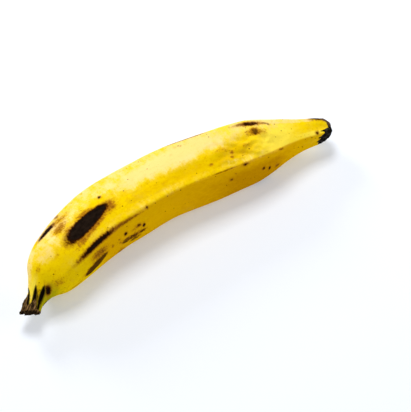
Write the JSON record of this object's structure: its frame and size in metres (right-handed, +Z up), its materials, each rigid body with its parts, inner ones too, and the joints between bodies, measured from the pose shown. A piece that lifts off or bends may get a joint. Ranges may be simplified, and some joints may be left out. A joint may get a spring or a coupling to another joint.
{
  "type": "plantain",
  "caption": "Ripe yellow plantain lying on its side: a bent, ridged fruit with a ribbed stem, a dried dark tip and brown bruises, to set on a table or in a bowl.",
  "frame": {"origin": "on the surface that the fruit lies on, under the middle of its outline seen from above", "axes": "+Z up, +X from the stem end to the blossom tip, +Y to the bowed back of the fruit"},
  "size_m": [0.2714, 0.0592, 0.043],
  "materials": {
    "peel": "satin, waxy ripe peel with dark brown bruises, a fibrous cut stem and a dried black tip"
  },
  "bodies": {
    "root": {"plantain": "peel"}
  },
  "joints": []
}
